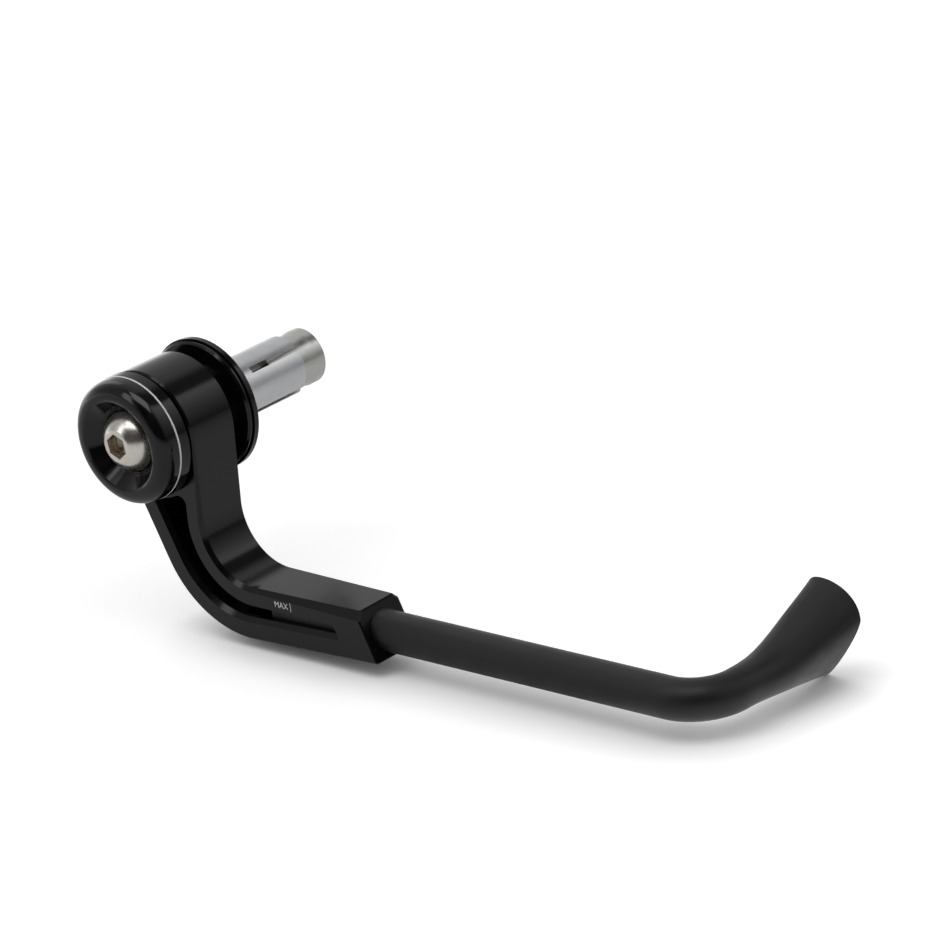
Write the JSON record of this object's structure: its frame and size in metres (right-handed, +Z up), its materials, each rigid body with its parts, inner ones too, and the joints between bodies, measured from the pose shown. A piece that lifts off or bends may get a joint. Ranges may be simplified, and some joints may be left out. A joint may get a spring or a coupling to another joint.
{
  "type": "brake lever guard",
  "caption": "Handlebar end lever guard: a dished bar end weight, a pocketed arm that turns on the bar end, and a bent rod that slides in its socket.",
  "frame": {"origin": "on the handlebar's axis, where the collar meets the end of the handlebar", "axes": "+Y along the handlebar, inboard; +X along the guard rod, forward; +Z up"},
  "size_m": [0.1692, 0.0599, 0.0617],
  "materials": {
    "arm": "black anodised, fine satin",
    "guard_rod": "matte black moulded nylon",
    "rod_set_screws": "black oxide",
    "bar_end_weight": "black anodised, polished, with a thin white ring line",
    "bar_end_screw": "stainless, satin",
    "spacer_washer": "matte black",
    "bar_collar": "black anodised",
    "expander_sleeve": "plain turned",
    "expander_cone": "zinc plated"
  },
  "bodies": {
    "bar_end": {"bar_collar": "bar_collar", "expander_sleeve": "expander_sleeve", "expander_cone": "expander_cone", "bar_end_screw": "bar_end_screw", "bar_end_weight": "bar_end_weight", "spacer_washer": "spacer_washer"},
    "arm": {"arm": "arm", "rod_set_screws": "rod_set_screws"},
    "rod": {"guard_rod": "guard_rod"}
  },
  "joints": [
    {"name": "arm_turn", "type": "hinge", "parent": "bar_end", "child": "arm", "pos_m": [0, 0, 0], "axis": [0, 1, 0], "continuous": true},
    {"name": "rod_slide", "type": "slide", "parent": "arm", "child": "rod", "axis": [1, 0, 0], "range_m": [-0.007, 0.0088]}
  ]
}
